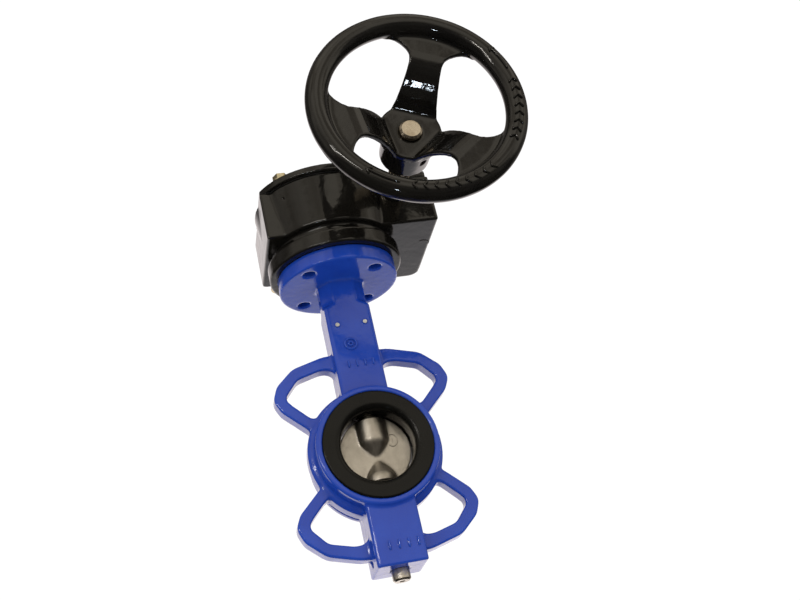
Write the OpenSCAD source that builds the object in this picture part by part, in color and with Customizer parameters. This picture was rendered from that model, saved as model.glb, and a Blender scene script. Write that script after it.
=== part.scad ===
// Wafer butterfly valve, DN50, with a worm gear operator and a handwheel.
// Frame: the pipe axis is Y, the stem axis is Z, and the origin is where they
// cross. The handwheel faces -Y. All sizes are in millimetres.

/* [Valve body] */
// Radius of the front rim that frames the seat liner
rim_r = 45.4; // [45:0.1:46.6]
// Distance between the two pipe flange faces
face_to_face = 43; // [43:0.1:44]
// Thickness of the flange bolt loops
loop_t = 12; // [10:0.5:13]
// Width of the valve neck
neck_w = 34.1; // [32:0.1:36]
// Depth of the valve neck
neck_d = 26.8; // [24:0.1:30]
// Radius of the ISO 5211 F07 top flange
top_flange_r = 45; // [44:0.5:46]
// Pitch circle diameter of the top flange holes
top_pcd = 70; // [69.5:0.1:70.5]
// Radius of the top flange holes
top_hole_r = 4.5; // [4:0.1:4.6]

/* [Disc and stems] */
// Radius of the disc, just under the liner bore radius of 26
disc_r = 25.7; // [25:0.1:25.8]
// Thickness of the disc plate
disc_t = 9; // [8:0.5:10]
// Radius of both stems
stem_r = 6.35; // [6.32:0.01:6.36]

/* [Gear operator] */
// Height of the shaft of the handwheel above the pipe axis
shaft_z = 193.2; // [193:0.1:193.4]
// Radius of the input shaft at the handwheel
shaft_r = 8.1; // [8.06:0.01:8.12]
// Thickness of the cover plate
cover_t = 5.2; // [4.5:0.1:6]

/* [Handwheel] */
// Radius of the handwheel, outside
wheel_r = 77; // [76:0.5:80]
// Radius of the round section of the rim
grip_r = 7.8; // [7:0.1:8]
// Direction of the first spoke
spoke_turn = 68; // [66:1:70]

/* [Hidden] */
$fn = 96;

// valve body
half_f = face_to_face / 2;   // pipe flange face of the liner
body_f = half_f - 0.7;       // the metal stays a little behind the rubber
rear_r = 43.6;               // rim at the rear face
band_r = 48;                 // centre band of the ring, between the loops
groove_r = 42.5;             // ring between the rims and the centre band
liner_r = 33.5;              // liner seat in the ring
lip_r = 39.2;                // outer radius of the liner face
bore_r = 26;                 // water way
boss_w = 35.4;               // bottom boss
boss_d = 36.4;
boss_z = -84.2;
flange_z = 134;              // underside of the top flange
flange_top = 145.2;
neck_bore = 8.5;
// gear operator
base_r = 50.45;
base_top = 157.1;
case_z = 164.4;              // underside of the gear case
case_top = 202.6;
cover_z = 203.3;
floor_z = 167;
shaft_x = 51.3;
box_l = 50.8;
box_r = 79.5;
teeth = 40;
gear_r = 43.2;               // pitch radius of the worm wheel
pitch = 2 * PI * gear_r / teeth;
worm_r = shaft_x - gear_r;   // pitch radius of the worm
stop_z = 173.5;
screw_xy = [[-33.6, -36.1], [-33.6, 36.1], [33.6, -36.1], [33.6, 36.1], [71, -26], [71, 49]];
// handwheel, measured along the shaft away from the case
rim_h = 141;
shelf_h = 139;
hub_h = 110;
rim_r0 = wheel_r - grip_r;

blue = [0.13, 0.22, 0.60];
black = [0.05, 0.05, 0.05];
steel = [0.70, 0.69, 0.66];
zinc = [0.78, 0.70, 0.48];
bronze = [0.70, 0.52, 0.28];
rubber = [0.06, 0.06, 0.06];

// ---- helpers ----
function unit(v) = v / norm(v);
function wrap(a) = a > 180 ? a - 360 : a < -180 ? a + 360 : a;
// points of the fillet of radius r at corner p1
function corner(p0, p1, p2, r, n) =
    r <= 0 ? [p1] :
    let (u = unit(p0 - p1), v = unit(p2 - p1), half = acos(u * v) / 2,
         d = r / tan(half), c = p1 + unit(u + v) * r / sin(half),
         s = p1 + u * d - c, e = p1 + v * d - c,
         a0 = atan2(s[1], s[0]), da = wrap(atan2(e[1], e[0]) - a0))
    [for (i = [0:n]) c + r * [cos(a0 + da * i / n), sin(a0 + da * i / n)]];
function rounded(p, r, n = 6) = let (m = len(p))
    [for (i = [0:m - 1]) each corner(p[(i + m - 1) % m], p[i], p[(i + 1) % m], r[i], n)];
function polar(r, a) = [r * cos(a), r * sin(a)];

// a cylinder along Y from y0 to y1, at x and z
module ycyl(r, y0, y1, x = 0, z = 0, fn = 96)
    translate([x, y1, z]) rotate([90, 0, 0]) cylinder(r = r, h = y1 - y0, $fn = fn);
// a cylinder along X from x0 to x1, at y and z
module xcyl(r, x0, x1, y = 0, z = 0, fn = 48)
    translate([x0, y, z]) rotate([0, 90, 0]) cylinder(r = r, h = x1 - x0, $fn = fn);
module zcyl(r, z0, z1, x = 0, y = 0, fn = 96)
    translate([x, y, z0]) cylinder(r = r, h = z1 - z0, $fn = fn);
module hexa(af, z0, z1, x = 0, y = 0)
    translate([x, y, z0]) cylinder(r = af / 2 / cos(30), h = z1 - z0, $fn = 6);
module box(a, b) translate(a) cube(b - a);
module prism(pts, z0, z1) translate([0, 0, z0]) linear_extrude(height = z1 - z0) polygon(pts);
// a rectangle with chamfered corners
function chamfered(x, y, c) = [[x, y - c], [x - c, y], [c - x, y], [-x, y - c],
    [-x, c - y], [c - x, -y], [x - c, -y], [x, c - y]];
// handwheel frame: z runs along the shaft away from the case
module at_wheel() translate([shaft_x, 0, shaft_z]) rotate([90, 0, 0]) children();

// ---- valve body: one casting ----
loop_out = rounded([[8, 76.7], [24, 76.5], [47.5, 70], [60.6, 58.2], [64.8, 47.8], [60.4, 38.4], [38, 17], [8, 17]],
    [0, 30, 16, 12, 9, 12, 0, 0]);
loop_in = rounded([[16.6, 66], [28, 66], [45, 61.3], [54.6, 50.2], [55.2, 46.5], [51.5, 42], [37.4, 27.6],
    [32.9, 32.9], [26.7, 38.1], [16.6, 43.4]], [8, 18, 9, 4, 4, 6, 6, 0, 0, 9]);
module loop()
    rotate([90, 0, 0]) linear_extrude(height = loop_t, center = true)
        difference() { polygon(loop_out); polygon(loop_in); }
module valve_body() color(blue) difference() {
    union() {
        // ring with a rim at each face and a band between the loops
        rotate([90, 0, 0]) rotate_extrude() polygon([
            [30, -body_f], [rim_r - 0.8, -body_f], [rim_r, -body_f + 0.8], [rim_r, -14.5],
            [groove_r, -11.5], [groove_r, -7], [band_r - 1.4, -6.4], [band_r, -5], [band_r, 5],
            [band_r - 1.4, 6.4], [rear_r - 1, 7.4], [rear_r, 9], [rear_r, body_f - 0.8],
            [rear_r - 0.8, body_f], [30, body_f]]);
        loop();
        mirror([1, 0, 0]) loop();
        // the lower pair sits a little closer to the bore
        translate([0, 0, 1.6]) mirror([0, 0, 1]) loop();
        mirror([1, 0, 0]) translate([0, 0, 1.6]) mirror([0, 0, 1]) loop();
        // neck, with its corners cut back under the flange so that the nuts fit, and the top flange
        difference() {
            prism(chamfered(neck_w / 2, neck_d / 2, 1.2), 34, flange_z + 1);
            for (a = [45:90:315]) rotate([0, 0, a]) rotate([90, 0, 0])
                linear_extrude(height = 60, center = true)
                    polygon([[15.6, 115.2], [29.6, 103.8], [29.6, 150], [15.6, 150]]);
        }
        zcyl(top_flange_r, flange_z, flange_top);
        // bottom boss
        prism(chamfered(boss_w / 2, boss_d / 2, 1.5), boss_z, -34);
    }
    // liner seat
    ycyl(liner_r, -40, 40);
    ycyl(lip_r, -40, -18.3);
    ycyl(lip_r, 18.3, 40);
    // stem bore
    zcyl(neck_bore, 20, 141);
    zcyl(12, 140, 143);
    zcyl(27.6, 142, 150);
    zcyl(neck_bore, -79, -20);
    zcyl(stem_r + 0.2, -90, -78);
    // top flange holes and the hole of the stem screw
    for (a = [45:90:315]) zcyl(top_hole_r, flange_z - 1, flange_top + 1,
        top_pcd / 2 * cos(a), top_pcd / 2 * sin(a), 48);
    xcyl(2.5, -20, -6, 0, -77);
    // blind rivet holes
    for (x = rivet_x) ycyl(1, -20, -9, x, rivet_z, 32);
}
rivet_z = 96.5;
rivet_x = [-9.8, 10.8];
module nameplate_rivets() color(steel) for (x = rivet_x) {
    ycyl(1, -neck_d / 2, -9.5, x, rivet_z, 32);
    ycyl(1.55, -neck_d / 2 - 0.8, -neck_d / 2, x, rivet_z, 32);
}

// ---- seat liner ----
module seat_liner() color(rubber) difference() {
    rotate([90, 0, 0]) rotate_extrude() polygon(concat(
        [[liner_r, -18.3], [lip_r, -18.3], [lip_r, -body_f - 0.2], [lip_r - 0.5, -half_f]],
        [for (i = [0:6]) [30.5 - 4.5 * sin(15 * i), -17 - 4.5 * cos(15 * i)]],
        [for (i = [0:6]) [30.5 - 4.5 * cos(15 * i), 17 + 4.5 * sin(15 * i)]],
        [[lip_r - 0.5, half_f], [lip_r, body_f + 0.2], [lip_r, 18.3], [liner_r, 18.3]]));
    zcyl(stem_r + 0.1, -45, 45);
}

// ---- disc and stems ----
// a round hub that ends in a blunt point at height tip, measured from the far end at 40
module hub(tip) rotate_extrude() polygon(rounded([[0, 40], [11.5, 40], [11.5, tip + 13.5],
    [3.4, tip + 0.8], [0, tip]], [0, 0, 9, 3, 0]));
module valve_disc() color(steel) difference() {
    intersection() {
        sphere(r = disc_r, $fn = 128);
        union() {
            ycyl(disc_r + 1, -disc_t / 2, disc_t / 2);
            // the hubs end in rounded points that almost meet
            hub(-7);
            mirror([0, 0, 1]) hub(4.8);
        }
    }
    zcyl(stem_r + 0.05, 18, 30);
    box([-4.55, -4.55, 2.5], [4.55, 4.55, 18.5]);
    zcyl(stem_r + 0.05, -30, -13.8);
}
module upper_stem() color(steel) {
    difference() {
        zcyl(stem_r, 18, 150);
        difference() {
            zcyl(10, 138.4, 139.8);
            zcyl(5.6, 138, 140);
        }
    }
    box([-4.5, -4.5, 3], [4.5, 4.5, 18]);
    box([-4.5, -4.5, 150], [4.5, 4.5, 197]);
}
module lower_stem() color(steel) difference() {
    rotate_extrude() polygon([[0, -92], [stem_r - 1.2, -92], [stem_r, -90.8], [stem_r, -79.8],
        [5.2, -79.8], [5.2, -74.2], [stem_r, -74.2], [stem_r, -14], [0, -14]]);
    zcyl(2, -93, -89, 0, 0, 32);
}
module stem_bush(z0, z1) color(bronze) difference() {
    zcyl(neck_bore, z0, z1);
    zcyl(stem_r + 0.05, z0 - 1, z1 + 1);
}
module upper_stem_bush() stem_bush(116, 138.2);
module neck_stem_bush() stem_bush(48, 70);
module lower_stem_bush() stem_bush(-73, -46);
module stem_o_rings() color(rubber) for (z = [106, 110, -43.6])
    translate([0, 0, z]) rotate_extrude() translate([7.45, 0]) circle(r = 1.02, $fn = 32);
module stem_circlip() color(steel) difference() {
    zcyl(8.2, 138.5, 139.7);
    zcyl(5.65, 138, 140);
    box([-1.6, 0, 138], [1.6, 12, 140]);
}
module stem_thrust_washer() color(bronze) difference() {
    zcyl(11.9, 140, 141.7);
    zcyl(stem_r + 0.1, 139, 143);
}
module lower_stem_screw() color(steel) difference() {
    union() {
        xcyl(2.5, -16.4, -8, 0, -77);
        xcyl(1.8, -8, -5.5, 0, -77);
    }
    translate([-17, 0, -77]) rotate([0, 90, 0]) cylinder(r = 1.45, h = 3, $fn = 6);
}

// ---- gear operator ----
case_out = rounded([[-box_l, -31.9], [-30, -31.9], [-30, 46.6], [-box_l, 46.6]], [1, 0, 0, 3]);
box_out = rounded([[24, -33.6], [box_r, -33.6], [box_r - 1.7, 57.2], [24, 57.2]], [0, 1.2, 8, 3]);
module gearbox_housing() color(black) difference() {
    union() {
        // mounting flange with its spigot, neck and case
        zcyl(27.4, 142.2, 146);
        translate([0, 0, flange_top]) rotate_extrude() polygon([[0, 0], [base_r - 0.8, 0],
            [base_r, 0.8], [base_r, base_top - flange_top - 0.8], [base_r - 0.8, base_top - flange_top],
            [0, base_top - flange_top]]);
        zcyl(44, base_top - 1, case_z + 1);
        translate([0, 0, case_z]) cylinder(r1 = 48.75, r2 = 53.2, h = case_top - case_z, $fn = 128);
        prism(case_out, case_z, case_top);
        box([-32, -31.9, case_z], [-8, 46.6, case_top]);
        prism(box_out, case_z, case_top);
        // pad of the second stop bolt
        box([5, 30, 166.5], [24, 50.5, 181]);
    }
    // gear room
    zcyl(43.2, floor_z, 190);
    zcyl(46.2, 184.5, 210);
    box([36, -21.8, 182.4], [62.4, 26.6, 210]);
    // bush of the worm wheel and stem hole
    zcyl(19, 153, 168);
    zcyl(8, 140, 154);
    // tapped holes under the flange
    for (a = [45:90:315]) zcyl(4, flange_top - 1, 156, top_pcd / 2 * cos(a), top_pcd / 2 * sin(a), 48);
    // shaft bearings
    ycyl(8.6, -40, -21.5, shaft_x, shaft_z);
    ycyl(8.2, 26, 60, shaft_x, shaft_z);
    // cover screws and stop bolts
    for (p = screw_xy) zcyl(2.5, 192, 210, p[0], p[1], 32);
    for (x = [-37.5, 14]) ycyl(4, 10, 60, x, stop_z, 48);
}
cover_out = rounded([[26, -32.6], [box_r - 1, -32.6], [box_r - 2.6, 56.2], [26, 56.2]], [0, 3, 8, 3]);
module cover_shape() {
    intersection() {
        circle(r = 56.2, $fn = 128);
        translate([1 - box_l, -60]) square([box_l + 60, 120]);
    }
    polygon(cover_out);
}
module cover_holes(r, z0, z1) {
    for (p = screw_xy) zcyl(r, z0, z1, p[0], p[1], 32);
}
module gearbox_cover() color(black) difference() {
    union() {
        translate([0, 0, cover_z]) linear_extrude(height = cover_t) cover_shape();
        // marks of the open and the closed position
        for (a = [0, 90]) rotate([0, 0, a]) box([-1, -29, cover_z + cover_t - 1], [1, -21, cover_z + cover_t + 0.8]);
    }
    zcyl(9.05, cover_z - 1, cover_z + cover_t + 2);
    cover_holes(2.5, cover_z - 1, cover_z + cover_t + 1);
}
module cover_gasket() color(rubber) difference() {
    translate([0, 0, case_top]) linear_extrude(height = cover_z - case_top) intersection() {
        cover_shape();
        union() {
            circle(r = 53, $fn = 128);
            polygon(case_out);
            polygon(box_out);
        }
    }
    zcyl(46.2, 200, 205);
    box([36, -21.8, 200], [62.4, 26.6, 205]);
    cover_holes(2.5, 200, 205);
}
module cover_screws() color(zinc) for (p = screw_xy) {
    zcyl(2.5, 194, cover_z + cover_t, p[0], p[1], 32);
    zcyl(6.2, cover_z + cover_t, cover_z + cover_t + 1, p[0], p[1], 48);
    hexa(10, cover_z + cover_t + 1, cover_z + cover_t + 5, p[0], p[1]);
}

// worm wheel: a toothed quadrant above, the stop lugs below
function tooth(k) = [for (q = [[41.4, -2.56], [44.6, -0.89], [44.6, 0.89], [41.4, 2.56]])
    polar(q[0], 360 / teeth * k + q[1])];
module worm_wheel() color(bronze) difference() {
    union() {
        zcyl(15.95, 153.5, 168);
        zcyl(18, 167.3, 201);
        translate([0, 0, 187]) linear_extrude(height = 12.5) polygon(concat(
            [[0, 0], polar(41.4, -114)], [for (k = [-12:2]) each tooth(k)], [polar(41.4, 24)]));
        box([-41, -12, 168.5], [0, 6.5, 180]);
        box([0, -22, 168.5], [20.5, -6, 180]);
    }
    box([-4.55, -4.55, 153], [4.55, 4.55, 202]);
}
module worm_wheel_bush() color(bronze) difference() {
    zcyl(19, 153, 167);
    zcyl(16, 152, 168);
}
// radius of the worm round its axis: one thread a turn, straight flanks
function worm_at(a) = let (d = abs(wrap(a)) * pitch / 360)
    d < 0.69 ? 9.5 : d < 1.82 ? 9.5 - (d - 0.69) / 1.13 * 3.1 : 6.4;
worm_angles = [-180, -150, -125, -108, -96.6, -75, -56, -36.6, -18, 0, 18, 36.6, 56, 75, 96.6, 108, 125, 150];
module worm() color(steel) difference() {
    union() {
        translate([shaft_x, 3 * pitch, shaft_z]) rotate([90, 0, 0])
            linear_extrude(height = 6 * pitch, twist = -360 * 6, slices = 120, $fn = 18)
                polygon([for (a = worm_angles) polar(worm_at(a), a)]);
        ycyl(8, 3 * pitch - 0.1, 26, shaft_x, shaft_z);
        ycyl(8, -21.3, -3 * pitch + 0.1, shaft_x, shaft_z);
    }
    ycyl(5.05, -30, 30, shaft_x, shaft_z);
    zcyl(1.5, 180, 210, shaft_x, 23.4, 32);
}
module worm_pin() color(steel) zcyl(1.5, shaft_z - 7.8, shaft_z + 7.8, shaft_x, 23.4, 32);
module input_shaft() color(zinc) difference() {
    union() {
        translate([shaft_x, 0, shaft_z]) rotate([90, 0, 0]) rotate_extrude() polygon([[0, -38], [4.2, -38],
            [5, -37.2], [5, 21.6], [6, 21.6], [6, 29.5], [shaft_r, 29.5], [shaft_r, 112.6], [shaft_r - 1.4, 114], [0, 114]]);
    }
    zcyl(1.5, 180, 210, shaft_x, 23.4, 32);
    at_wheel() translate([0, 0, 95]) rotate([0, 0, -64]) rotate([0, 90, 0]) translate([0, 0, 1])
        cylinder(r = 2.5, h = 20, $fn = 32);
}
module worm_bush_front() color(bronze) difference() {
    ycyl(8.6, -29, -21.8, shaft_x, shaft_z);
    ycyl(6.05, -30, -20, shaft_x, shaft_z);
}
module worm_bush_rear() color(bronze) difference() {
    ycyl(8.2, 26.6, 37, shaft_x, shaft_z);
    ycyl(5.05, 25, 40, shaft_x, shaft_z);
}
module input_shaft_seal() color(rubber) difference() {
    ycyl(9.7, -35.6, -33.6, shaft_x, shaft_z);
    ycyl(shaft_r + 0.05, -40, -30, shaft_x, shaft_z);
}
module rear_bearing_plug() color(zinc) {
    ycyl(8.2, 40, 57.2, shaft_x, shaft_z);
    translate([shaft_x, 57.2, shaft_z]) rotate([-90, 0, 0]) cylinder(r = 9.8, h = 5, $fn = 6);
}
module stop_bolts() color(zinc) {
    // each passes through the back wall and meets a lug of the worm wheel
    for (p = [[-37.5, 6.8, 69], [14, 20.8, 71]]) difference() {
        ycyl(4, p[1], p[2], p[0], stop_z, 48);
        box([p[0] - 0.6, p[2] - 1.5, stop_z - 6], [p[0] + 0.6, p[2] + 1, stop_z + 6]);
    }
}
module stop_lock_nuts() color(zinc) for (p = [[-37.5, 46.6], [14, 50.5]]) difference() {
    translate([p[0], p[1], stop_z]) rotate([-90, 0, 0]) cylinder(r = 7.5, h = 6.5, $fn = 6);
    ycyl(4, p[1] - 1, p[1] + 10, p[0], stop_z, 48);
}
module position_indicator() color(black) {
    zcyl(9, 201, cover_z + cover_t + 1);
    translate([0, 0, cover_z + cover_t + 0.3]) rotate_extrude() polygon([[0, 0], [18, 0], [18, 2], [16, 3.8], [0, 3.8]]);
    // arrow along the disc
    prism([[-15, -2], [6, -2], [6, -5.5], [15, 0], [6, 5.5], [6, 2], [-15, 2]],
        cover_z + cover_t + 4, cover_z + cover_t + 5.6);
}

// ---- handwheel ----
spoke_w = [[10, 19.6], [20, 14.8], [27, 13], [34, 12], [41, 11.7], [45.6, 12.8], [49.4, 15.8],
    [52.6, 20.2], [54.5, 24.6], [54.8, 28.5], [53.6, 32], [62, 37.6], [68, 39.5]];
spoke_out = concat([[0, 14]], spoke_w, [for (i = [len(spoke_w) - 1:-1:0]) [spoke_w[i][0], -spoke_w[i][1]]], [[0, -14]]);
spoke_side = [[0, hub_h - 2.9], [14.2, hub_h - 2.9], [18.8, 115.5], [22.2, 120.7], [25.8, 125.4], [29.6, 129.6],
    [33.7, 133.2], [38, 136.2], [42.4, 138.2], [47, shelf_h], [80, shelf_h], [80, shelf_h - 4.2], [47.6, shelf_h - 4.2],
    [43.8, 134.2], [40.2, 132.6], [36.3, 129.9], [32.5, 126.5], [28.9, 122.5], [25.3, 118], [21.8, 113.1],
    [18, hub_h - 4.5], [0, hub_h - 4.5]];
module handwheel() color(black) at_wheel() difference() {
    union() {
        translate([0, 0, rim_h]) rotate_extrude($fn = 128) translate([rim_r0, 0]) circle(r = grip_r, $fn = 48);
        for (a = [0:120:240]) rotate([0, 0, spoke_turn + a]) intersection() {
            translate([0, 0, 90]) linear_extrude(height = 60) polygon(spoke_out);
            rotate([90, 0, 0]) linear_extrude(height = 90, center = true) polygon(spoke_side);
            translate([0, 0, 90]) cylinder(r = rim_r0, h = 60, $fn = 128);
        }
        // hub plate and the boss behind it
        translate([0, 0, hub_h - 5.5]) cylinder(r = 22.9, h = 5.5, $fn = 128);
        translate([0, 0, 80]) cylinder(r1 = 18.4, r2 = 19.6, h = hub_h - 3 - 80);
    }
    translate([0, 0, 70]) cylinder(r = shaft_r + 0.05, h = 60);
    translate([0, 0, 95]) rotate([0, 0, -64]) rotate([0, 90, 0]) cylinder(r = 2.5, h = 30, $fn = 32);
}
module handwheel_pin() color(steel) at_wheel() translate([0, 0, 95]) rotate([0, 0, -64])
    rotate([0, 90, 0]) translate([0, 0, 1]) cylinder(r = 2.5, h = 16, $fn = 32);

valve_body();
seat_liner();
valve_disc();
upper_stem();
lower_stem();
upper_stem_bush();
neck_stem_bush();
lower_stem_bush();
stem_o_rings();
stem_circlip();
stem_thrust_washer();
lower_stem_screw();
nameplate_rivets();
gearbox_housing();
gearbox_cover();
cover_gasket();
cover_screws();
worm_wheel();
worm_wheel_bush();
worm();
worm_pin();
input_shaft();
worm_bush_front();
worm_bush_rear();
input_shaft_seal();
rear_bearing_plug();
stop_bolts();
stop_lock_nuts();
position_indicator();
handwheel();
handwheel_pin();
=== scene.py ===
"""Looks of the wafer butterfly valve with its worm gear operator and handwheel.

All positions are in the row frame: metres, pipe along Y, stem along Z, handwheel towards -Y.
"""
import math
import bpy
import bmesh
import numpy as np
from mathutils import Matrix, Vector


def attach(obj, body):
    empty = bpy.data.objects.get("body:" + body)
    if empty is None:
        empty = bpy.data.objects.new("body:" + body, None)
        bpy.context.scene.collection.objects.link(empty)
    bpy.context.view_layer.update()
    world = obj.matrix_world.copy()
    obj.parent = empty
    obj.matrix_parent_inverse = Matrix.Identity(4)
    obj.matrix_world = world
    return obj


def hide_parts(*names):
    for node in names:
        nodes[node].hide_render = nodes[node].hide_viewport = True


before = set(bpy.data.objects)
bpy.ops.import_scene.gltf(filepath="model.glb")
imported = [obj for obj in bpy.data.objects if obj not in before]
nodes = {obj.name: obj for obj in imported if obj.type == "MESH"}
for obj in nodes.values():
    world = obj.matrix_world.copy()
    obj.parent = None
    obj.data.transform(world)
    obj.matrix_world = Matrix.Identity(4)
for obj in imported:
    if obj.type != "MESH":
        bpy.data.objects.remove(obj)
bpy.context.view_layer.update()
MM = 0.001
scene = bpy.context.scene


# ---------------------------------------------------------------- camera
# rows: the camera's right, down and forward directions
LOOK = ((0.965957, -0.148837, -0.211598), (-0.123236, 0.454425, -0.882219), (0.227463, 0.878263, 0.420613))
cam_data = bpy.data.cameras.new("camera")
cam_data.lens = 52.8365
cam_data.sensor_width = 36.0
cam_data.clip_start = 0.05
cam_data.clip_end = 60
camera = bpy.data.objects.new("camera", cam_data)
scene.collection.objects.link(camera)
right, down, ahead = (Vector(r).normalized() for r in LOOK)
turn = Matrix((right, -down, -ahead)).transposed().to_4x4()
camera.matrix_world = Matrix.Translation((-0.158157, -0.780185, -0.257061)) @ turn
scene.camera = camera


# ---------------------------------------------------------------- node helpers
class Mat:
    """A material with one Principled shader and short ways to add nodes."""

    def __init__(self, name):
        self.m = bpy.data.materials.new(name)
        self.m.use_nodes = True
        self.t = self.m.node_tree
        self.t.nodes.clear()
        self.out = self.t.nodes.new("ShaderNodeOutputMaterial")
        self.p = self.t.nodes.new("ShaderNodeBsdfPrincipled")
        self.t.links.new(self.p.outputs[0], self.out.inputs[0])
        self.co = self.t.nodes.new("ShaderNodeTexCoord").outputs["Object"]

    def set(self, **values):
        for k, v in values.items():
            self.p.inputs[k.replace("_", " ")].default_value = v
        return self

    def link(self, a, b):
        self.t.links.new(a, b)

    def noise(self, scale, detail=3.0, rough=0.55, co=None, dist=0.0):
        n = self.t.nodes.new("ShaderNodeTexNoise")
        n.inputs["Scale"].default_value = scale
        n.inputs["Detail"].default_value = detail
        n.inputs["Roughness"].default_value = rough
        n.inputs["Distortion"].default_value = dist
        self.link(co or self.co, n.inputs["Vector"])
        return n.outputs["Fac"]

    def cells(self, scale, co=None, feature="F1"):
        n = self.t.nodes.new("ShaderNodeTexVoronoi")
        n.feature = feature
        n.inputs["Scale"].default_value = scale
        self.link(co or self.co, n.inputs["Vector"])
        return n.outputs["Distance"]

    def stretch(self, scale=(1, 1, 1), place=(0, 0, 0), turn=(0, 0, 0)):
        n = self.t.nodes.new("ShaderNodeMapping")
        n.inputs["Scale"].default_value = scale
        n.inputs["Location"].default_value = place
        n.inputs["Rotation"].default_value = turn
        self.link(self.co, n.inputs["Vector"])
        return n.outputs[0]

    def rings(self, scale, axis, co=None, distortion=0.0):
        n = self.t.nodes.new("ShaderNodeTexWave")
        n.wave_type = "RINGS"
        n.rings_direction = axis
        n.inputs["Scale"].default_value = scale
        n.inputs["Distortion"].default_value = distortion
        self.link(co or self.co, n.inputs["Vector"])
        return n.outputs["Fac"]

    def bands(self, scale, axis, co=None, distortion=0.0):
        n = self.t.nodes.new("ShaderNodeTexWave")
        n.wave_type = "BANDS"
        n.bands_direction = axis
        n.inputs["Scale"].default_value = scale
        n.inputs["Distortion"].default_value = distortion
        self.link(co or self.co, n.inputs["Vector"])
        return n.outputs["Fac"]

    def ramp(self, fac, stops, smooth=True):
        n = self.t.nodes.new("ShaderNodeValToRGB")
        n.color_ramp.interpolation = "EASE" if smooth else "LINEAR"
        while len(n.color_ramp.elements) < len(stops):
            n.color_ramp.elements.new(0.5)
        for e, (at, c) in zip(n.color_ramp.elements, stops):
            e.position = at
            e.color = (*c, 1) if hasattr(c, "__len__") else (c, c, c, 1)
        self.link(fac, n.inputs[0])
        return n.outputs[0]

    def mix(self, fac, a, b, kind="MIX"):
        n = self.t.nodes.new("ShaderNodeMix")
        n.data_type = "RGBA"
        n.blend_type = kind
        for s, v in ((n.inputs[0], fac), (n.inputs[6], a), (n.inputs[7], b)):
            if isinstance(v, bpy.types.NodeSocket):
                self.link(v, s)
            elif hasattr(v, "__len__"):
                s.default_value = (*v, 1)
            else:
                s.default_value = v
        return n.outputs[2]

    def math(self, op, a, b=0.0):
        n = self.t.nodes.new("ShaderNodeMath")
        n.operation = op
        for s, v in zip(n.inputs, (a, b)):
            if isinstance(v, bpy.types.NodeSocket):
                self.link(v, s)
            else:
                s.default_value = v
        return n.outputs[0]

    def wear_and_shade(self):
        """High on outer edges, low in corners; it drives edge wear and painted corner shade."""
        return self.t.nodes.new("ShaderNodeNewGeometry").outputs["Pointiness"]

    def bump(self, *layers):
        """layers: (height socket, distance in metres)"""
        last = None
        for h, d in layers:
            n = self.t.nodes.new("ShaderNodeBump")
            n.inputs["Distance"].default_value = d
            self.link(h, n.inputs["Height"])
            if last is not None:
                self.link(last, n.inputs["Normal"])
            last = n.outputs[0]
        self.link(last, self.p.inputs["Normal"])
        return self

    def color(self, s):
        self.link(s, self.p.inputs["Base Color"])
        return self

    def rough(self, s):
        self.link(s, self.p.inputs["Roughness"])
        return self


def enamel(name, low, high, edge, peel, fine, rough=(0.10, 0.2), coat=0.35, corner_shade_tint=(0.3, 0.3, 0.3)):
    """Glossy brushed or dipped enamel over a casting: its tone drifts, it thins on edges, and painted shade darkens
    the corners.
    """
    m = Mat(name)
    drift = m.ramp(m.noise(26, 4), [(0.35, low), (0.68, high)])
    thin = m.ramp(m.wear_and_shade(), [(0.50, 0.0), (0.62, 1.0)])
    # painted shade: corners are mixed toward a darker copy of the low colour
    corner_shade_mask = m.ramp(m.wear_and_shade(), [(0.40, 1.0), (0.49, 0.0)])
    c = m.mix(thin, drift, edge)
    dark = m.mix(0.35, drift, tuple(x * g for x, g in zip(low, corner_shade_tint)))
    c = m.mix(corner_shade_mask, c, dark)
    speck = m.ramp(m.noise(1300, 2, 0.5), [(0.74, 0.0), (0.80, 1.0)])
    c = m.mix(m.math("MULTIPLY", speck, 0.35), c, tuple(min(1, x * 1.7 + 0.01) for x in high))
    m.color(c)
    m.rough(m.ramp(m.noise(95, 5), [(0.35, rough[0]), (0.72, rough[1])]))
    m.set(Coat_Weight=coat, Coat_Roughness=0.04, Coat_IOR=1.5, IOR=1.5, Metallic=0.0)
    m.bump((m.noise(peel[0], 2.5, 0.45), peel[1]), (m.noise(fine[0], 3, 0.5), fine[1]))
    return m.m


def metal(name, low, high, rough, grain, layers, scale=60, corner_shade_color=None, corner_shade_strength=0.7):
    m = Mat(name)
    c = m.ramp(m.noise(scale, 6, 0.6), [(0.32, low), (0.70, high)])
    if corner_shade_color is not None:
        # painted shade: corners are darkened toward the given colour
        corner_shade_mask = m.ramp(m.wear_and_shade(), [(0.36, 1.0), (0.48, 0.0)])
        c = m.mix(m.math("MULTIPLY", corner_shade_mask, corner_shade_strength), c, corner_shade_color)
    m.color(c)
    m.rough(m.ramp(m.noise(grain, 4, 0.6), [(0.3, rough[0]), (0.75, rough[1])]))
    m.set(Metallic=1.0, IOR=2.0)
    m.bump(*[(f(m), d) for f, d in layers])
    return m.m


# the blue enamel's last colour factors tint its painted corner shade
BLUE = enamel("blue_enamel", (0.0095, 0.050, 0.400), (0.0130, 0.064, 0.460), (0.026, 0.095, 0.52),
              (210, 0.00016), (900, 0.00002), rough=(0.12, 0.21), coat=0.30, corner_shade_tint=(0.35, 0.4, 0.55))
BLACK = enamel("black_enamel", (0.0052, 0.0048, 0.0042), (0.0082, 0.0075, 0.0062), (0.013, 0.012, 0.010),
               (150, 0.00018), (700, 0.00002), rough=(0.09, 0.18), coat=0.15)
WHEEL_BLACK = enamel("handwheel_enamel", (0.0045, 0.0042, 0.0040), (0.0075, 0.0070, 0.0060), (0.012, 0.011, 0.009),
                     (170, 0.00013), (620, 0.00002), rough=(0.08, 0.16), coat=0.12)


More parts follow.
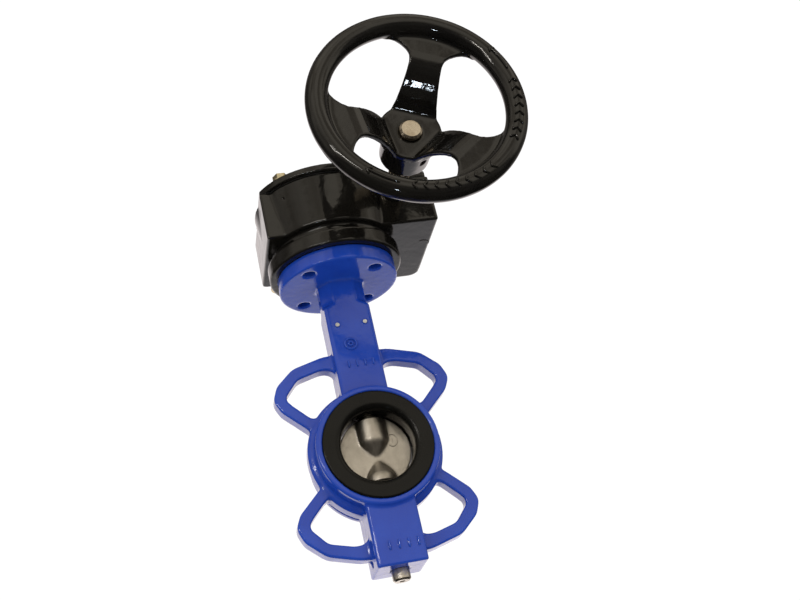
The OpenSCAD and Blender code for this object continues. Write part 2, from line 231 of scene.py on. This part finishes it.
def rubber(name, base=(0.0028, 0.0028, 0.0024), rough=(0.17, 0.30)):
    m = Mat(name)
    c = m.ramp(m.noise(40, 5, 0.6), [(0.3, base), (0.72, tuple(x * 1.7 for x in base))])
    dust = m.ramp(m.noise(420, 3, 0.6), [(0.66, 0.0), (0.78, 1.0)])
    m.color(m.mix(m.math("MULTIPLY", dust, 0.25), c, (0.05, 0.047, 0.042)))
    m.rough(m.ramp(m.noise(160, 5), [(0.3, rough[0]), (0.75, rough[1])]))
    m.set(IOR=1.34, Metallic=0.0)
    m.bump((m.noise(90, 3), 0.00006), (m.noise(2200, 3, 0.6), 0.00001))
    return m.m


RUBBER = rubber("seat_rubber")
SMALL_RUBBER = rubber("ring_rubber", (0.009, 0.009, 0.009), (0.45, 0.6))
# the dark colours given for the corners are painted shade
CAST_STEEL = metal("cast_stainless", (0.49, 0.46, 0.41), (0.66, 0.62, 0.56), (0.34, 0.50), 500,
                   [(lambda m: m.noise(230, 3, 0.5), 0.00009), (lambda m: m.noise(1100, 4, 0.65), 0.000045)],
                   corner_shade_color=(0.30, 0.265, 0.21), corner_shade_strength=0.45)
BAR_STEEL = metal("turned_stainless", (0.64, 0.595, 0.51), (0.82, 0.775, 0.69), (0.28, 0.42), 300,
                  [(lambda m: m.bands(900, "Z", distortion=0.6), 0.000010), (lambda m: m.noise(300, 2), 0.000012)],
                  corner_shade_color=(0.24, 0.20, 0.14))
ZINC = metal("yellow_zinc", (0.55, 0.45, 0.24), (0.72, 0.66, 0.47), (0.22, 0.40), 420,
             [(lambda m: m.noise(420, 3), 0.00004), (lambda m: m.noise(1600, 3, 0.6), 0.000015)],
             scale=110, corner_shade_color=(0.12, 0.09, 0.04))
BRONZE = metal("bronze", (0.42, 0.25, 0.10), (0.60, 0.40, 0.19), (0.25, 0.42), 300,
               [(lambda m: m.noise(300, 4), 0.00005), (lambda m: m.noise(1500, 3), 0.00002)])
ALUMINIUM = metal("rivet_aluminium", (0.86, 0.90, 0.94), (0.93, 0.95, 0.97), (0.30, 0.42), 600,
                  [(lambda m: m.noise(900, 3), 0.00002)])


def shaft_finish():
    """Turned end and ground side of the input shaft, with a plated, slightly yellow cast."""
    m = Mat("shaft_plate")
    at = m.stretch(place=(-0.0513, 0, -0.1932))
    c = m.ramp(m.noise(90, 5, 0.6), [(0.3, (0.56, 0.48, 0.37)), (0.7, (0.72, 0.64, 0.52))])
    # painted shade: corners darken toward a dark brown
    corner_shade_mask = m.ramp(m.wear_and_shade(), [(0.40, 1.0), (0.495, 0.0)])
    m.color(m.mix(m.math("MULTIPLY", corner_shade_mask, 0.7), c, (0.10, 0.08, 0.05)))
    m.rough(m.ramp(m.noise(380, 4, 0.6), [(0.3, 0.20), (0.75, 0.38)]))
    m.set(Metallic=1.0, IOR=2.0)
    m.bump((m.rings(520, "Y", at, 0.4), 0.00002), (m.noise(450, 4), 0.00004))
    return m.m


SHAFT = shaft_finish()


# ---------------------------------------------------------------- mesh helpers
def arrays(me):
    co = np.empty(len(me.vertices) * 3, np.float32)
    me.vertices.foreach_get("co", co)
    me.calc_loop_triangles()
    tri = np.empty(len(me.loop_triangles) * 3, np.int32)
    me.loop_triangles.foreach_get("vertices", tri)
    e = np.empty(len(me.edges) * 2, np.int32)
    me.edges.foreach_get("vertices", e)
    return co.reshape(-1, 3).astype(np.float64), tri.reshape(-1, 3), e.reshape(-1, 2)


def point_normals(co, tri):
    n = np.cross(co[tri[:, 1]] - co[tri[:, 0]], co[tri[:, 2]] - co[tri[:, 0]])
    out = np.zeros_like(co)
    for k in range(3):
        for a in range(3):
            out[:, a] += np.bincount(tri[:, k], weights=n[:, a], minlength=len(co))
    return out / np.maximum(np.linalg.norm(out, axis=1), 1e-12)[:, None]


def relax(me, soft, hollow, soft_w=None, hollow_w=None):
    """Rounds a remeshed casting: hollow passes fill inner corners with a fillet, soft passes round every edge."""
    co, tri, e = arrays(me)
    n = len(co)
    deg = np.maximum(np.bincount(e.ravel(), minlength=n), 1)[:, None]

    def pull():
        s = np.empty_like(co)
        for a in range(3):
            s[:, a] = np.bincount(e[:, 0], weights=co[e[:, 1], a], minlength=n) + np.bincount(
                e[:, 1], weights=co[e[:, 0], a], minlength=n)
        return s / deg - co

    hw = 1.0 if hollow_w is None else hollow_w(co)[:, None]
    for i in range(hollow):
        if i % 4 == 0:
            nor = point_normals(co, tri)
        d = pull()
        out = np.einsum("ij,ij->i", d, nor)[:, None]
        co = co + hw * (0.55 * np.maximum(out, 0) * nor + 0.25 * (d - out * nor))
    sw = 1.0 if soft_w is None else soft_w(co)[:, None]
    for i in range(soft):
        co = co + 0.5 * sw * pull()
    me.vertices.foreach_set("co", co.astype(np.float32).ravel())
    me.update()


def solid_from(bm, name):
    me = bpy.data.meshes.new(name)
    bm.to_mesh(me)
    bm.free()
    o = bpy.data.objects.new(name, me)
    scene.collection.objects.link(o)
    return o


def remeshed(name, source, extra, voxel):
    """One closed skin over the CAD node's shape and any extra solids."""
    bm = bmesh.new()
    for s in source:
        bm.from_mesh(nodes[s].data)
    for x in extra:
        bm.from_mesh(x)
        bpy.data.meshes.remove(x)
    o = solid_from(bm, name)
    r = o.modifiers.new("skin", "REMESH")
    r.mode = "VOXEL"
    r.voxel_size = voxel
    r.adaptivity = 0
    bpy.context.view_layer.update()
    dg = bpy.context.evaluated_depsgraph_get()
    me = bpy.data.meshes.new_from_object(o.evaluated_get(dg))
    o.modifiers.clear()
    old = o.data
    o.data = me
    me.name = name
    bpy.data.meshes.remove(old)
    return o


def smooth(o):
    o.data.polygons.foreach_set("use_smooth", [True] * len(o.data.polygons))
    o.data.update()


def wobble(o, size, strength):
    """Slight unevenness of a hand-finished casting."""
    t = bpy.data.textures.new(o.name + "_waves", "CLOUDS")
    t.noise_scale = size
    t.noise_depth = 1
    d = o.modifiers.new("waves", "DISPLACE")
    d.texture = t
    d.texture_coords = "LOCAL"
    d.strength = strength
    d.mid_level = 0.5


def cast(name, source, body, mat, voxel, soft, hollow, extra=(), soft_w=None, hollow_w=None, waves=None):
    o = remeshed(name, source, list(extra), voxel * (1.0))
    relax(o.data, soft, hollow, soft_w, hollow_w)
    smooth(o)
    o.data.materials.clear()
    o.data.materials.append(mat)
    if waves:
        wobble(o, *waves)
    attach(o, body)
    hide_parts(*source)
    return o


def near_axis(co, point, axis, radius, blend=0.0012):
    """1 inside a cylinder round an axis, falling to 0 outside it."""
    p, a = np.array(point, float), np.array(axis, float)
    q = co - p
    d = np.linalg.norm(q - (q @ a)[:, None] * a, axis=1)
    return np.clip((radius + blend - d) / blend, 0, 1)


def lathe(profile, steps, axis="Z", place=(0, 0, 0)):
    """A closed solid of revolution; profile is (radius, height) in mm, closed at the axis or on itself."""
    bm = bmesh.new()
    ring = []
    for i in range(steps):
        a = 2 * math.pi * i / steps
        ring.append([bm.verts.new((r * MM * math.cos(a), r * MM * math.sin(a), z * MM)) for r, z in profile])
    n = len(profile)
    for i in range(steps):
        j = (i + 1) % steps
        for k in range(n):
            m = (k + 1) % n
            bm.faces.new((ring[i][k], ring[j][k], ring[j][m], ring[i][m]))
    bmesh.ops.remove_doubles(bm, verts=bm.verts, dist=1e-7)
    bmesh.ops.recalc_face_normals(bm, faces=bm.faces)
    if axis == "Y":
        bmesh.ops.rotate(bm, verts=bm.verts, cent=(0, 0, 0), matrix=Matrix.Rotation(math.radians(90), 3, "X"))
    bmesh.ops.translate(bm, verts=bm.verts, vec=Vector(place) * MM)
    return bm


def as_mesh(bm):
    me = bpy.data.meshes.new("extra")
    bm.to_mesh(me)
    bm.free()
    return me


# ---------------------------------------------------------------- castings
def body_hollow(co):
    w = np.ones(len(co))
    for x, y in ((24.75, 24.75), (24.75, -24.75), (-24.75, 24.75), (-24.75, -24.75)):
        hole = near_axis(co, (x * MM, y * MM, 0), (0, 0, 1), 6.2 * MM) * (co[:, 2] > 0.130)
        w *= 1 - hole
    w *= 1 - near_axis(co, (0, 0, 0), (0, 0, 1), 10.5 * MM)
    w *= 1 - near_axis(co, (0, 0, 0), (0, 1, 0), 41.5 * MM)
    # the groove beside the front rim keeps its shape
    r = np.hypot(co[:, 0], co[:, 2])
    groove = (r < 46.4 * MM) & (co[:, 1] < -5 * MM)
    w *= np.where(groove, 0.30, 1.0)
    top = co[:, 2] > 0.1415
    return w * np.where(top, 0.0, 1.0)


cast("valve_body_casting", ["valve_body"], "valve_body", BLUE, 0.62 * MM, 6, 34,
     hollow_w=body_hollow, waves=(0.018, 0.00014))


def housing_hollow(co):
    w = np.ones(len(co))
    inside = near_axis(co, (0, 0, 0), (0, 0, 1), 47.0 * MM) * (co[:, 2] > 0.166)
    w *= 1 - np.where((inside > 0) & (np.hypot(co[:, 0], co[:, 1]) < 46.5 * MM), 1, 0)
    w *= np.where(co[:, 2] < 0.1452, 0.0, 1.0)
    w *= 1 - near_axis(co, (51.3 * MM, 0, 193.2 * MM), (0, 1, 0), 10.5 * MM)
    for x in (-37.5, 14):
        w *= 1 - near_axis(co, (x * MM, 0, 173.5 * MM), (0, 1, 0), 5.5 * MM)
    return w


cast("gearbox_housing_casting", ["gearbox_housing"], "valve_body", BLACK, 0.75 * MM, 4, 14,
     hollow_w=housing_hollow, waves=(0.03, 0.00018))
cast("gearbox_cover_casting", ["gearbox_cover"], "valve_body", BLACK, 0.62 * MM, 3, 4,
     waves=(0.03, 0.00016))


def wheel_hollow(co):
    return 1 - near_axis(co, (51.3 * MM, 0, 193.2 * MM), (0, 1, 0), 9.5 * MM)


cast("handwheel_casting", ["handwheel"], "handwheel_train", WHEEL_BLACK, 0.62 * MM, 6, 36,
     hollow_w=wheel_hollow, waves=(0.016, 0.00016))
cast("valve_disc_casting", ["valve_disc"], "stem_train", CAST_STEEL, 0.34 * MM, 4, 60,
     waves=(0.007, 0.00012))
cast("seat_liner_moulding", ["seat_liner"], "valve_body", RUBBER, 0.5 * MM, 5, 8,
     waves=(0.02, 0.00010))



# ---------------------------------------------------------------- cast-on marks: plain rings, ticks and arrows
def bead(bm, path, nor, wide, high, sunk=0.5, closed=False):
    """A smooth raised line, like a stroke of cast relief: path and normals are in metres."""
    n, k = len(path), 8
    rings = []
    for i in range(n):
        a, b = (path[i - 1] if closed or i else path[i]), (path[(i + 1) % n] if closed or i < n - 1 else path[i])
        t = (b - a).normalized()
        up = nor[i].normalized()
        side = t.cross(up).normalized()
        small = 1.0 if closed or 0 < i < n - 1 else 0.45
        ring = []
        for j in range(k):
            q = 2 * math.pi * j / k
            h = math.sin(q)
            h = h * high if h > 0 else h * sunk
            ring.append(bm.verts.new(path[i] + side * (math.cos(q) * wide / 2 * small * MM) + up * (h * small * MM)))
        rings.append(ring)
    for i in range(n if closed else n - 1):
        p, q = rings[i], rings[(i + 1) % n]
        for j in range(k):
            m = (j + 1) % k
            bm.faces.new((p[j], p[m], q[m], q[j]))
    if not closed:
        bm.faces.new(rings[0][::-1])
        bm.faces.new(rings[-1])


def marks(name, strokes, place, body, mat, wide=1.1, high=0.55):
    """strokes: (points, closed) in mm on a surface; place(u, v) gives the point and the normal there."""
    bm = bmesh.new()
    for pts, closed in strokes:
        fine = []
        m = len(pts)
        for i in range(m if closed else m - 1):
            a, b = pts[i], pts[(i + 1) % m]
            steps = max(1, round(math.dist(a, b) / 1.2))
            fine += [(a[0] + (b[0] - a[0]) * s / steps, a[1] + (b[1] - a[1]) * s / steps) for s in range(steps)]
        if not closed:
            fine.append(pts[-1])
        spots = [place(u, v) for u, v in fine]
        bead(bm, [Vector(q[0]) * MM for q in spots], [Vector(q[1]) for q in spots], wide, high, closed=closed)
    bmesh.ops.recalc_face_normals(bm, faces=bm.faces)
    o = solid_from(bm, name)
    smooth(o)
    o.data.materials.append(mat)
    sub = o.modifiers.new("round", "SUBSURF")
    sub.levels = sub.render_levels = 1
    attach(o, body)
    return o


def circle(u, v, r, n=20, squash=1.0):
    return ([(u + r * math.cos(2 * math.pi * i / n), v + r * squash * math.sin(2 * math.pi * i / n))
             for i in range(n)], True)


def ticks(u0, u1, n, v0, v1, lean=0.0):
    return [([(u0 + (u1 - u0) * i / (n - 1), v0), (u0 + (u1 - u0) * i / (n - 1) + lean, v1)], False)
            for i in range(n)]


def front_at(y):
    return lambda u, v: ((u, y, v), (0, -1, 0))


def on_rim(u, v):
    """u is the distance along the rim from +X towards +Z, v the distance outwards across its section."""
    t, p = u / 69.2, v / 7.8
    r = 69.2 + 7.8 * math.sin(p)
    return ((51.3 + r * math.cos(t), -141 - 7.8 * math.cos(p), 193.2 + r * math.sin(t)),
            (math.sin(p) * math.cos(t), -math.cos(p), math.sin(p) * math.sin(t)))


def rim_arrow(deg0, deg1, v):
    """An arrow along the rim from deg0 to deg1."""
    u0, u1 = math.radians(deg0) * 69.2, math.radians(deg1) * 69.2
    back = 4.0 if u1 > u0 else -4.0
    return [([(u0, v), (u1, v)], False), ([(u1 - back, v - 2.6), (u1, v), (u1 - back, v + 2.6)], False)]


def rim_ticks(deg0, deg1, n, v0, v1, lean=0.0):
    return ticks(math.radians(deg0) * 69.2, math.radians(deg1) * 69.2, n, v0, v1, lean)


marks("neck_cast_marks", [circle(-3.1, 80.3, 4.3), circle(-3.1, 80.3, 1.5, 10)] + ticks(-7.5, 10.5, 4, 61.6, 67.6),
      front_at(-13.4), "valve_body", BLUE, 1.9, 1.5)
marks("boss_cast_marks", ticks(-7.0, 13.0, 4, -74.4, -67.6), front_at(-18.2), "valve_body", BLUE,
      2.1, 1.6)
marks("disc_cast_mark", [circle(13.3, 6.0, 3.6, squash=1.25), ([(13.3, 4.2), (13.3, 7.8)], False)],
      front_at(-4.5), "stem_train", CAST_STEEL, 0.9, 0.4)


def rim_chevrons(deg0, deg1, n):
    """A row of chevrons along the rim that point from deg0 to deg1."""
    out = []
    for i in range(n):
        u = math.radians(deg0 + (deg1 - deg0) * i / (n - 1)) * 69.2
        tip = 1.6 if deg1 > deg0 else -1.6
        out.append(([(u - tip, -3.4), (u + tip, 0.0), (u - tip, 3.4)], False))
    return out


marks("handwheel_cast_marks",
      rim_arrow(15, 33, 1.0) + rim_chevrons(-33, 7, 8) + rim_arrow(-113, -133, 0.5) + rim_chevrons(-57, -105, 9),
      on_rim, "handwheel_train", WHEEL_BLACK, 2.1, 1.6)
marks("housing_cast_mark", [([(72.0 + 6.0 * math.cos(a), 3.0 + 5.0 * math.sin(a)) for a in
                              (math.radians(d) for d in range(-115, 16, 13))], False)],
      lambda u, v: ((u, v, 164.4), (0, 0, -1)), "valve_body", BLACK, 1.0, 0.5)

# ---------------------------------------------------------------- carried-over nodes
FINISH = {
    "upper_stem": BAR_STEEL, "lower_stem": BAR_STEEL, "upper_stem_bush": BRONZE, "neck_stem_bush": BRONZE,
    "lower_stem_bush": BRONZE, "stem_o_rings": SMALL_RUBBER, "stem_circlip": BAR_STEEL,
    "stem_thrust_washer": BRONZE, "lower_stem_screw": BAR_STEEL, "nameplate_rivets": ALUMINIUM,
    "cover_gasket": SMALL_RUBBER, "cover_screws": ZINC, "worm_wheel": BRONZE, "worm_wheel_bush": BRONZE,
    "worm": BAR_STEEL, "worm_pin": BAR_STEEL, "input_shaft": SHAFT, "worm_bush_front": BRONZE,
    "worm_bush_rear": BRONZE, "input_shaft_seal": SMALL_RUBBER, "rear_bearing_plug": ZINC, "stop_bolts": ZINC,
    "stop_lock_nuts": ZINC, "position_indicator": BLACK, "handwheel_pin": BAR_STEEL,
}
for name, mat in FINISH.items():
    o = nodes[name]
    if o.hide_render:
        continue
    o.data.materials.clear()
    o.data.materials.append(mat)

# turned and stamped pieces have broken edges
BROKEN = {"input_shaft": 0.9, "lower_stem": 0.35, "nameplate_rivets": 0.55, "cover_screws": 0.35,
          "stop_bolts": 0.5, "stop_lock_nuts": 0.4, "rear_bearing_plug": 0.5, "position_indicator": 0.6,
          "lower_stem_screw": 0.25}
for name, width in BROKEN.items():
    o = nodes[name]
    if o.hide_render:
        continue
    b = o.modifiers.new("broken_edges", "BEVEL")
    b.width = width * MM
    b.segments = 3
    b.limit_method = "ANGLE"
    b.angle_limit = math.radians(38)
    b.use_clamp_overlap = True

# ---------------------------------------------------------------- stage and light
bm = bmesh.new()
bmesh.ops.create_grid(bm, x_segments=8, y_segments=8, size=6)
bmesh.ops.translate(bm, verts=bm.verts, vec=(0, 0, -0.62))
floor = solid_from(bm, "floor")
fm = Mat("pale_floor")
fm.color(fm.ramp(fm.noise(3, 3), [(0.3, (0.80, 0.80, 0.79)), (0.7, (0.84, 0.84, 0.83))]))
fm.rough(fm.ramp(fm.noise(40, 3), [(0.3, 0.6), (0.7, 0.75)]))
floor.data.materials.append(fm.m)
floor.visible_glossy = False

world = bpy.data.worlds.new("studio")
scene.world = world
world.use_nodes = True
wt = world.node_tree
wt.nodes.clear()


def wnode(kind, **sockets):
    n = wt.nodes.new(kind)
    for k, v in sockets.items():
        n.inputs[k].default_value = v
    return n


wo = wnode("ShaderNodeOutputWorld")
direction = wnode("ShaderNodeTexCoord").outputs["Generated"]
sep = wnode("ShaderNodeSeparateXYZ")
wt.links.new(direction, sep.inputs[0])


def wramp(value, stops):
    n = wnode("ShaderNodeValToRGB")
    n.color_ramp.interpolation = "EASE"
    while len(n.color_ramp.elements) < len(stops):
        n.color_ramp.elements.new(0.5)
    for e, (at, c) in zip(n.color_ramp.elements, stops):
        e.position = at
        e.color = (*c, 1)
    wt.links.new(value, n.inputs[0])
    return n.outputs[0]


def half(value):
    """-1 ... 1 to 0 ... 1"""
    n = wnode("ShaderNodeMath")
    n.operation = "MULTIPLY_ADD"
    wt.links.new(value, n.inputs[0])
    n.inputs[1].default_value = 0.5
    n.inputs[2].default_value = 0.5
    return n.outputs[0]


# dim warm room in front, darker below and to the sides, white paper behind the object
room = wramp(half(sep.outputs[2]), [(0.20, (0.07, 0.066, 0.06)), (0.41, (0.15, 0.14, 0.125)),
                                   (0.50, (0.68, 0.625, 0.525)), (0.75, (0.78, 0.71, 0.59))])
sides = wramp(half(sep.outputs[1]), [(0.30, (1, 1, 1)), (0.62, (0.23, 0.23, 0.25))])
paper = wramp(half(sep.outputs[1]), [(0.83, (0, 0, 0)), (0.93, (1, 1, 1))])
paper_light = wramp(half(sep.outputs[2]), [(0.26, (0.62, 0.60, 0.62)), (0.40, (1.50, 1.38, 1.34)),
                                          (0.66, (1.05, 0.97, 0.96))])
patches = wnode("ShaderNodeTexNoise", Scale=2.6, Detail=2.0, Roughness=0.5)
wt.links.new(direction, patches.inputs["Vector"])
patchy = wramp(patches.outputs["Fac"], [(0.36, (0.50, 0.48, 0.46)), (0.62, (1.12, 1.12, 1.12))])
left = wramp(half(sep.outputs[0]), [(0.14, (0.66, 0.66, 0.67)), (0.34, (1, 1, 1))])
shaded = wnode("ShaderNodeMix")
shaded.data_type = "RGBA"
shaded.blend_type = "MULTIPLY"
shaded.inputs[0].default_value = 1.0
wt.links.new(sides, shaded.inputs[6])
wt.links.new(left, shaded.inputs[7])
uneven = wnode("ShaderNodeMix")
uneven.data_type = "RGBA"
uneven.blend_type = "MULTIPLY"
uneven.inputs[0].default_value = 1.0
wt.links.new(shaded.outputs[2], uneven.inputs[6])
wt.links.new(patchy, uneven.inputs[7])
dimmed = wnode("ShaderNodeMix")
dimmed.data_type = "RGBA"
dimmed.blend_type = "MULTIPLY"
dimmed.inputs[0].default_value = 1.0
wt.links.new(room, dimmed.inputs[6])
wt.links.new(uneven.outputs[2], dimmed.inputs[7])
mixed = wnode("ShaderNodeMix")
mixed.data_type = "RGBA"
wt.links.new(paper, mixed.inputs[0])
wt.links.new(dimmed.outputs[2], mixed.inputs[6])
wt.links.new(paper_light, mixed.inputs[7])
sharp = wnode("ShaderNodeBackground", Strength=1.0)
wt.links.new(mixed.outputs[2], sharp.inputs[0])
soft_bg = wnode("ShaderNodeBackground", Color=(0.78, 0.77, 0.76, 1), Strength=1.0)
white = wnode("ShaderNodeBackground", Color=(1, 1, 1, 1), Strength=1.05)
path = wnode("ShaderNodeLightPath")
m1 = wnode("ShaderNodeMixShader")
wt.links.new(path.outputs["Is Diffuse Ray"], m1.inputs[0])
wt.links.new(sharp.outputs[0], m1.inputs[1])
wt.links.new(soft_bg.outputs[0], m1.inputs[2])
m2 = wnode("ShaderNodeMixShader")
wt.links.new(path.outputs["Is Camera Ray"], m2.inputs[0])
wt.links.new(m1.outputs[0], m2.inputs[1])
wt.links.new(white.outputs[0], m2.inputs[2])
wt.links.new(m2.outputs[0], wo.inputs[0])


def lamp(name, az, el, far, size, watts, color, at=(0.02, -0.05, 0.12)):
    """A soft rectangular lamp seen from the object at an azimuth from -Y towards +X and an elevation."""
    a, e = math.radians(az), math.radians(el)
    way = Vector((math.sin(a) * math.cos(e), -math.cos(a) * math.cos(e), math.sin(e)))
    d = bpy.data.lights.new(name, "AREA")
    d.shape = "RECTANGLE"
    d.size, d.size_y = size
    d.energy = watts
    d.color = color
    o = bpy.data.objects.new(name, d)
    scene.collection.objects.link(o)
    o.location = Vector(at) + way * far
    o.rotation_mode = "QUATERNION"
    o.rotation_quaternion = way.to_track_quat("Z", "Y")
    return o


lamp("tube_lamp", -30, 7, 1.6, (0.95, 0.04), 3.2, (1.0, 0.95, 0.88))
lamp("low_lamp", -26, -47, 1.5, (0.08, 0.06), 2.6, (0.78, 0.89, 1.0))
soft = lamp("soft_top", 10, 50, 1.8, (0.9, 0.9), 9.0, (1.0, 0.97, 0.93))
soft.visible_glossy = False

scene.view_settings.view_transform = "Standard"
scene.view_settings.look = "None"
scene.view_settings.exposure = 0.0
scene.view_settings.gamma = 1.0

bpy.context.view_layer.update()
